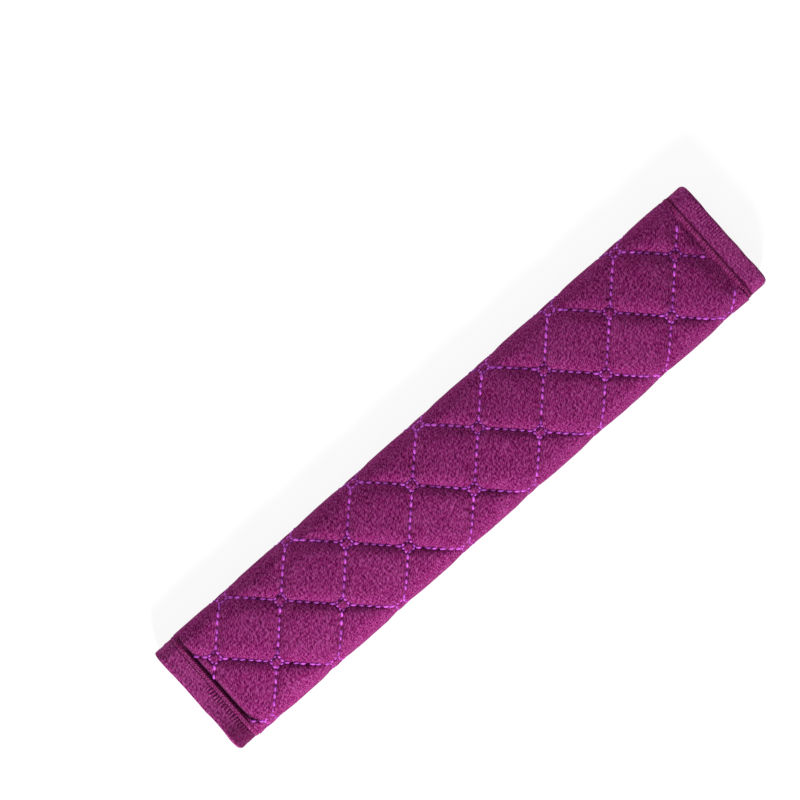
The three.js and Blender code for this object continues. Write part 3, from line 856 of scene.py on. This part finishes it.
def lining_sheet():
    ramp_start = QUILT_X + 2 * LAYER_GAP
    ramp_end = ramp_start + 2.2
    half = np.append(np.linspace(0, ramp_start, 50), np.linspace(ramp_start, ramp_end, 6)[1:])
    half = np.append(half, LAMINATE_X)
    xs = np.append(-half[:0:-1], half)

    def lift(x):
        return LINING_HEM_LIFT * smooth(np.abs(x), ramp_start, ramp_end)

    def inner(x, row):
        slack = 0.05 * (soft_noise(x, row, 9, 21) + 1)
        return lift(x) + slack * (1 - smooth(np.abs(x), ramp_start - 8, ramp_start))

    def outer(x, row):
        return lift(x) + LINING

    return sheet_mesh("lining_sheet", layer_rows(), xs, xs, outer, inner)[0]


# Stitches


TABLE_CLEAR = 0.03  # the lowest that a stitch may reach


def capsules(name, centres, tangents, normals, lengths, widths, height, dip):
    """Plump stitches, each an ellipsoid that dips into the cloth at both ends."""
    rings, sides = 5, 8
    ring_at = np.cos(np.linspace(np.pi, 0, rings + 2))
    share = np.repeat(ring_at[1:-1], sides)
    angle = np.tile(np.arange(sides) / sides * 2 * np.pi, rings)
    size = np.sqrt(1 - share**2) ** 0.75
    side, up = (np.concatenate([[0], turn(angle) * size, [0]]) for turn in (np.cos, np.sin))
    # Painted highlight and shade: each stitch is lighter over its top and darker underneath and
    # towards its dipping ends.
    highlight_and_tone = np.concatenate([[0], (0.5 + 0.5 * np.sin(angle) * size) * (1 - 0.6 * share**2), [0]])
    share = np.concatenate([ring_at[:1], share, ring_at[-1:]])

    def moved(directions, amounts):
        """How far each stitch's points lie along a direction of their stitch."""
        return directions[:, None] * amounts[..., None]

    points = (
        centres[:, None]
        + moved(tangents, share * lengths[:, None] / 2)
        + moved(np.cross(normals, tangents), side * widths[:, None] / 2)
        + moved(normals, up * height / 2 - dip * share**2)
    )
    points[..., 2] = np.maximum(points[..., 2], TABLE_CLEAR)
    each = len(share)
    last = each - 1 - sides
    faces = []
    for k in range(sides):
        after = (k + 1) % sides
        faces += [(0, 1 + after, 1 + k), (each - 1, last + k, last + after)]
        for first in range(1, last, sides):
            a, b = first + k, first + after
            faces += [(a, b, b + sides), (a, b + sides, a + sides)]
    one = outward(points[0], np.array(faces))
    starts = each * np.arange(len(points))
    all_faces = (one + starts[:, None, None]).reshape(-1, 3)
    made = mesh_object(name, points, all_faces)
    # This painted light is scaled by a tone that differs at random from stitch to stitch.
    highlight_and_tone = highlight_and_tone * rng.uniform(0.5, 1.2, (len(points), 1))
    colour_points(made, "highlight_and_tone", np.clip(highlight_and_tone, 0, 1))
    return made


def unit(vectors):
    return vectors / np.linalg.norm(vectors, axis=1)[:, None]


def stitches_on(name, x, row, along_x, along_row, surface, length, width, height, lift, dip):
    """Stitches at lattice points, laid along a lattice direction on surface(x, row)."""
    size = np.hypot(along_x, along_row)
    ux, ur = along_x / size, along_row / size

    def at(step):
        """The stitches' places, moved a step along their directions."""
        near_x, near_row = x + ux * step, row + ur * step
        return place(near_x, near_row, surface(near_x, near_row) + lift)

    step = 0.4
    tangents = unit(at(step) - at(-step))
    _, _, ny, nz = section(row_to_s(row, x))
    up = np.stack([np.zeros_like(ny), ny, nz], 1)
    up = unit(up - tangents * np.einsum("ij,ij->i", up, tangents)[:, None])
    count = len(x)
    turn = rng.normal(STITCH_SLANT, 0.05, count)[:, None]
    tangents = unit(tangents + np.cross(up, tangents) * turn)
    lengths = length * rng.uniform(0.9, 1.08, count)
    widths = width * rng.uniform(0.92, 1.08, count)
    return capsules(name, at(0), tangents, up, lengths, widths, height, dip)


def quilting_stitches():
    first_row, last_row = OUTER_EDGE + EDGE_TURN + 1.5, FOLD_END + 2.0
    spots = []  # each holds x, row and a direction in the lattice
    reach = int(END_X / CELL) + 2
    low, high = (int(np.floor((v - CROSSING_ROW) / CELL)) for v in (first_row, last_row))
    for j in range(low - 1, high + 2):
        for i in range(-reach, reach + 1):
            if (i + j) % 2:
                continue
            x, row = CROSSING_X + i * CELL, CROSSING_ROW + j * CELL
            for way in (-1, 1):
                for k in range(STITCH_COUNT):
                    run = SQUARE + (k + 0.5) * STITCH_PITCH / np.sqrt(2)
                    spots.append((x + way * run, row + run, way, 1))
            for way in (-1, 1):
                for half in (-0.5, 0.5):
                    spots.append((x + way * SQUARE, row + half * SQUARE, 0, 1))
                    spots.append((x + half * SQUARE, row + way * SQUARE, 1, 0))
    spots = np.array(spots, float)
    slide = rng.normal(0, 0.16, (len(spots), 2))[:, :1]
    spots[:, :2] += slide * spots[:, 2:]
    x, row = spots[:, 0], spots[:, 1]
    keep = (np.abs(x) < RIDGE_X - 1.2) & (row > first_row) & (row < last_row)
    x, row, ux, ur = spots[keep].T
    diagonal = ux * ur != 0
    lengths = np.where(diagonal, 3.35, 2.2)
    lift = np.where(diagonal, np.where(ux * ur < 0, 0.48, 0.34), 0.2) + rng.normal(0, 0.07, len(x))
    s = row_to_s(row, x)
    lift = lift - np.where(s < 0, 0.42, 0.14) * (1 - front_share(s))  # the folds' stitches lie deeper
    name = "quilting_stitches"
    return stitches_on(name, x, row, ux, ur, plush_height, lengths, 1.36, 1.05, lift, 0.45)


# Bound ends


RIB_PITCH = 1.33  # of the right binding's ribs
TEETH_PITCH = 1.56  # of the left binding's gathers


def right_relief(x, rows):
    """Ribs across the right binding, and the shade painted between them and at its seam."""
    across = band(x, SEAM_X + 3.4, SEAM_X + 5.0, END_X - 1.6, END_X - 0.3)
    share = across * band(rows, -9.0, 2.0, 17.0, 26.0)
    share = share + 0.3 * across * (1 - share)
    wave = ripple(rows + 0.12 * soft_noise(rows, x, 2.5, 36), RIB_PITCH)
    # Painted shade along the seam's narrow groove.
    seam_line = 1 - smooth(x, SEAM_X + 0.25, SEAM_X + 0.7)
    return 0.16 * wave * share, np.maximum(0.1 * (0.5 - 0.5 * wave) * share, 0.85 * seam_line)


def left_relief(x, rows):
    """Gathers and folds of the left binding, and the shade painted between them. The gathers
    start at the seam, on the binding's lower half, whose painted shade deepens towards the fold."""
    lower = smooth(-rows, -6.0, 4.0)
    share = (1 - smooth(x, SEAM_X + 1.6, SEAM_X + 3.8)) * band(-rows, -6.0, 4.0, 26.0, 31.0)
    share = share * (0.85 + 0.15 * soft_noise(rows, x, 2.0, 39))
    wave = ripple(rows + 0.3 * soft_noise(rows, x, 2.2, 36), TEETH_PITCH)
    fold = soft_noise(rows / 7, x, 2.3, 38) * smooth(x, SEAM_X + 1.5, SEAM_X + 3.5)
    # Painted shade: in the hollows between the gathers, along the seam's groove, a little over the
    # whole binding and more towards its lower end.
    hollow = (0.5 - 0.5 * wave) * share
    seam_line = (0.6 - 0.5 * lower) * (1 - smooth(x, SEAM_X + 0.1, SEAM_X + 0.5))
    low_end = 0.2 * band(-rows, 0, 14, 32, 40) + 0.48 * band(-rows, 12, 26, 32, 40) + 0.08
    low_end = np.broadcast_to(low_end, x.shape)
    return 0.24 * wave * share + 0.22 * fold, np.maximum.reduce([hollow, seam_line, low_end])


def binding_outline(nose):
    """The binding's section at one end, whose outer corner is rounded by `nose`: over the top
    from the lip at the seam, round the end, and back along the inside."""
    heel, lip = 0.55, 0.25
    top = BINDING_SEAT + BINDING
    foot = BINDING_FOOT - BINDING_INNER
    arc = np.linspace(0, np.pi / 2, 9)
    outer = [(SEAM_X - 0.08 + lip * (1 - np.sin(a)), top - lip * (1 - np.cos(a))) for a in arc[::-2]]
    outer += [(x, top) for x in np.linspace(SEAM_X + 0.4, END_X - nose, 18)]
    outer += [(END_X - nose + nose * np.sin(a), top - nose * (1 - np.cos(a))) for a in arc[1:]]
    outer += [(END_X - heel + heel * np.cos(a), foot + heel * (1 - np.sin(a))) for a in arc]
    outer += [(SEAM_X, foot), (SEAM_X, BINDING_FOOT)]
    inner_end = END_X - BINDING_INNER
    outer += [(inner_end - 0.3, BINDING_FOOT), (inner_end, BINDING_FOOT + 0.3)]
    outer += [(inner_end, FACE_INNER + 0.2), (inner_end - 0.9, BINDING_SEAT), (SEAM_X, BINDING_SEAT)]
    return np.array(outer)


def binding_profile(side):
    """The left binding has gathers and folds, and the right one has ribs."""
    ribs = side > 0
    round_flat, sharp_flat = binding_outline(2.6), binding_outline(1.3)
    on_top = (round_flat[:, 1] > BINDING_SEAT + 0.05).astype(float)
    relief_of = right_relief if ribs else left_relief

    def profile(rows):
        sharp = 1 - smooth(np.abs(rows), SHOULDER - 4.0, SHOULDER + 2.0)
        if not ribs:
            sharp = np.maximum(sharp, band(rows, 0, 1, FOLD_END - 6, FOLD_END))
        flat = round_flat[None] + (sharp_flat - round_flat)[None] * sharp[..., None]
        x, height = flat[..., 0], flat[..., 1]
        relief, dark = relief_of(x, rows)
        folds = 0.14 * soft_noise(rows + 0 * x, x, 3.2, 33 + side)
        inset = 0.12 + 0.3 * (1 - smooth(edge_distance(rows), 0, 0.45))
        height = height + (folds + relief - inset) * on_top
        wave = soft_noise(rows, 0 * rows + 5 * side, 6.5, 31)
        front = 1 - smooth(np.abs(rows), SHOULDER - 4.0, SHOULDER + 3.0)
        x = x + (0.25 if ribs else 0.5) * (wave - 0.8) * front * smooth(x, SEAM_X + 3, END_X)
        return side * np.minimum(x, END_X), height, dark * on_top

    return profile


def overlock_seam(name, side):
    """The raised cord under the overlock stitches."""
    base = STITCH_WALL + LAYER_GAP
    front_top, fold_top = (0.6 if side < 0 else 0.35), 0.85
    arc = np.linspace(np.pi, 0, 13)
    middle = RIDGE_X + RIDGE_WIDTH / 2
    flat_x = np.append(middle + RIDGE_WIDTH / 2 * np.cos(arc), (RIDGE_X + RIDGE_WIDTH, RIDGE_X))
    bulge = np.append(np.sin(arc) ** 0.45, (0, 0))
    floor = np.append(np.full(len(arc), base + 0.06), (base, base))

    def profile(rows):
        x = np.repeat(side * flat_x[None], len(rows), 0)
        wave = ripple(rows, LADDER_PITCH)
        between = 0.5 - 0.5 * wave
        raised = bulge > 0.3
        s = row_to_s(rows, side * middle)
        folded = 1 - front_share(s) - pressed_share(s)
        height = floor + (front_top + (fold_top - front_top) * folded) * bulge
        # Painted shade: along the seam's groove, at the left cord's inner edge beside the crease, and
        # between the ladder stitches.
        at_line = bell(np.abs(x) - RIDGE_X - RIDGE_WIDTH, 0.3)
        at_crease = bell(np.abs(x) - RIDGE_X, 0.8)
        if side < 0:
            shade = np.maximum(np.maximum(0.4 * at_line, 0.75 * at_crease), 0.3 * between)
        else:
            shade = np.maximum(0.8 * at_line, 0.75 * between)
        return x, height + 0.09 * wave * raised, shade

    return swept_mesh(name, profile)


def ladder_stitches(name, side, columns, length, lift):
    """Short stitches along the pad, side by side in columns round the whole section."""
    rows = np.arange(OUTER_EDGE + 0.8, INNER_EDGE - 0.8, LADDER_PITCH)
    x = np.concatenate([np.full(len(rows), side * at) for at in columns])
    row = np.concatenate([rows + 0.35 * k * LADDER_PITCH for k in range(len(columns))])
    row = row + rng.normal(0, 0.1, len(row))
    surface = level(STITCH_WALL)
    return stitches_on(name, x, row, 1, 0, surface, length, 0.7, 0.45, lift, 0.12)


# Closure


def fastener_tape(name, low, rough_top):
    """A tape with rounded corners and a rough face where hooks or loops stand."""
    half_length = QUILT_X - FASTENER_END_INSET
    corner = 2.0
    xs = np.linspace(-half_length, half_length, 240)
    inset = np.clip(np.abs(xs) - (half_length - corner), 0, corner)
    width = FASTENER_WIDTH / 2 - corner + np.sqrt(np.clip(corner**2 - inset**2, 0.01, None))
    x, share = np.meshgrid(xs, np.linspace(-1, 1, 17))
    y = share * width
    pile = (np.abs(share) < 0.86) * (0.5 + 0.5 * soft_noise(x, y, 1.3, 41 + int(low)))
    hollow = 0.28 * (1 - pile)
    top = low + FASTENER_THICKNESS - hollow * rough_top
    bottom = low + hollow * (not rough_top)
    points = [np.stack([x, y, z], -1) for z in (top, bottom)]
    index = np.arange(x.size).reshape(x.shape)
    quads = cell_corners(index).reshape(4, -1).T
    # The tape's outline, once round, joins its top to its bottom
    rim = np.concatenate([index[0, :-1], index[:-1, -1], index[-1, :0:-1], index[:0:-1, 0]])
    after = np.roll(rim, -1)
    walls = np.stack([rim + x.size, after + x.size, after, rim], 1)
    return mesh_object(name, points, np.concatenate([quads, quads[:, ::-1] + x.size, walls]))


def hook_tape_sewing():
    """Two rows of machine stitches on the outer flap, which hold the hook tape."""
    half_length = QUILT_X - FASTENER_END_INSET - 1.5
    xs = np.arange(-half_length, half_length, 2.6)
    reach = FASTENER_WIDTH / 2 - 1.4
    middle = -(FOLD_END + SHOULDER)
    x = np.tile(xs, 2)
    row = np.repeat([middle - reach, middle + reach], len(xs))
    return stitches_on("hook_tape_sewing", x, row, 1, 0, plush_height, 1.9, 0.5, 0.45, 0.1, 0.2)


# Camera, light and floor


def aim(thing, target, up):
    """Turns a camera or lamp to look at a point, with a chosen direction upwards."""
    back = (thing.location - target).normalized()
    right = up.cross(back).normalized()
    true_up = back.cross(right)
    turn = Matrix((right, true_up, back)).transposed()
    thing.rotation_euler = turn.to_euler()


IMAGE_UP = Vector((UP_X, UP_Y, 0))
IMAGE_RIGHT = Vector((UP_Y, -UP_X, 0))


def make_camera():
    centre = Vector((-0.00043, 0.0414, 0.014))
    frame_width = 0.3636
    data = bpy.data.cameras.new("photo_camera")
    data.lens = 200
    data.sensor_width = 36
    data.clip_end = 50
    camera = add_object("photo_camera", data)
    camera.location = centre + Vector((0, 0, frame_width * data.lens / data.sensor_width))
    aim(camera, centre, IMAGE_UP)
    bpy.context.scene.camera = camera


def area_lamp(name, direction, distance, size, power):
    data = bpy.data.lights.new(name, "AREA")
    data.size = size
    data.energy = power
    lamp = add_object(name, data)
    lamp.location = direction.normalized() * distance
    aim(lamp, Vector((0, 0, 0)), Vector((0, 0, 1)))


def make_lights():
    low_side = IMAGE_UP * -1.0 + IMAGE_RIGHT * 0.1
    area_lamp("key_lamp", low_side + Vector((0, 0, 0.48)), 1.1, 0.3, 19.6)
    area_lamp("fill_lamp", Vector((0.15, 1.0, 0.3)), 1.3, 0.6, 7.8)
    world = bpy.data.worlds.new("studio")
    world.use_nodes = True
    tree = world.node_tree
    light = tree.nodes["Background"]
    light.inputs["Color"].default_value = (1, 1, 1, 1)
    light.inputs["Strength"].default_value = 0.25
    white = node(tree, "ShaderNodeBackground", in_Color=(1, 1, 1, 1), in_Strength=1.0)
    path = node(tree, "ShaderNodeLightPath").outputs
    seen = math_node(tree, "MAXIMUM", path["Is Camera Ray"], path["Is Glossy Ray"])
    choose = node(tree, "ShaderNodeMixShader")
    for value, socket in zip((seen, light.outputs[0], white.outputs[0]), choose.inputs):
        tree.links.new(value, socket)
    tree.links.new(choose.outputs[0], tree.nodes["World Output"].inputs["Surface"])
    bpy.context.scene.world = world


def make_floor():
    """A wide pale ground that glows a little where the camera sees it, as a white page does."""
    reach, below = 4000.0, -0.05
    signs = (-1, -1), (1, -1), (1, 1), (-1, 1)
    corners = [(x * reach, y * reach, below) for x, y in signs]
    floor = mesh_object("floor", corners, [(0, 1, 2, 3)], smooth_faces=False)
    material, tree, shader = new_material("pale_floor", 1.0, 0.0)
    shader.inputs["Emission Color"].default_value = (1, 1, 1, 1)
    seen = node(tree, "ShaderNodeLightPath").outputs["Is Camera Ray"]
    colour = mix_colour(tree, seen, (0.85, 0.85, 0.85, 1), (0.25, 0.25, 0.25, 1))
    tree.links.new(colour, shader.inputs["Base Color"])
    tree.links.new(math_node(tree, "MULTIPLY", seen, 0.86), shader.inputs["Emission Strength"])
    floor.data.materials.append(material)


# Dressing

SIM_HEIGHTS = simulate_pillows()

# In each pile material, the colour after the tuft sizes is the painted shade that its shade attribute
# mixes in.
plush_tones = (80, 0, 54), (129, 28, 96), (160, 70, 134)
plush_sheen = 0.32, 0.34, (255, 150, 222)
plush = pile_material("plush", plush_tones, 0.0014, 0.00048, (24, 0, 18), plush_sheen, 0.27)
tones = (96, 6, 70), (137, 40, 106), (174, 84, 146)
sheen = 0.25, 0.36, (240, 140, 205)
binding_cloth = pile_material("binding_cloth", tones, 0.0013, 0.0006, (62, 0, 38), sheen, 0.32)
sheen = 0.1, 0.36, (220, 90, 160)
seam_cord = pile_material("seam_cord", tones, 0.0009, 0.0006, (84, 0, 36), sheen, 0.3)
violet_thread = thread_material("violet_thread", (104, 4, 122), (212, 90, 216))
plum_thread = thread_material("plum_thread", (100, 10, 66), (164, 58, 126), 0.8)
knit = weave_material("knit", (62, 18, 46), (112, 42, 88), 0.0009)
fill_cloth = weave_material("fill_cloth", (206, 198, 202), (240, 236, 238), 0.0022, 1.0)
tape_weave = weave_material("tape_weave", (56, 14, 40), (104, 36, 80), 0.0007, 0.7)

face = dress(plush_face(), plush, "plush", "plush_face")
dress(wadding_layer(), fill_cloth, "wadding", "wadding")
lining = dress(lining_sheet(), knit, "lining", "belt_side_lining")
lining_cut = (lining_width() * METRE, 2 * LAMINATE_X * METRE)
dress(quilting_stitches(), violet_thread, "thread", "quilting_thread")

for end, side in (("left", -1), ("right", 1)):
    binding = swept_mesh(f"{end}_binding_tape", binding_profile(side))
    dress(binding, binding_cloth, "binding", f"{end}_end_binding")
    dress(overlock_seam(f"{end}_seam_cord", side), seam_cord, "seam", f"{end}_overlock_seam")
columns = (RIDGE_X + 0.6, RIDGE_X + 1.6)
dress(ladder_stitches("left_ladder_stitches", -1, columns, 0.8, 0.8), plum_thread, "seam")
dress(ladder_stitches("right_ladder_stitches", 1, (RIDGE_X + 1.1,), 2.4, 0.6), plum_thread, "seam")

hook_low = OUTER_FLAP_Z + LAYER_GAP
loop_low = hook_low + FASTENER_THICKNESS + LAYER_GAP
for kind, low, rough_top in (("hook", hook_low, True), ("loop", loop_low, False)):
    tape = fastener_tape(f"{kind}_tape", low, rough_top)
    dress(tape, tape_weave, f"{kind}_tape", f"{kind}_strip")
dress(hook_tape_sewing(), plum_thread, "thread")

make_floor()
make_lights()
make_camera()
bpy.context.scene.view_settings.view_transform = "Standard"
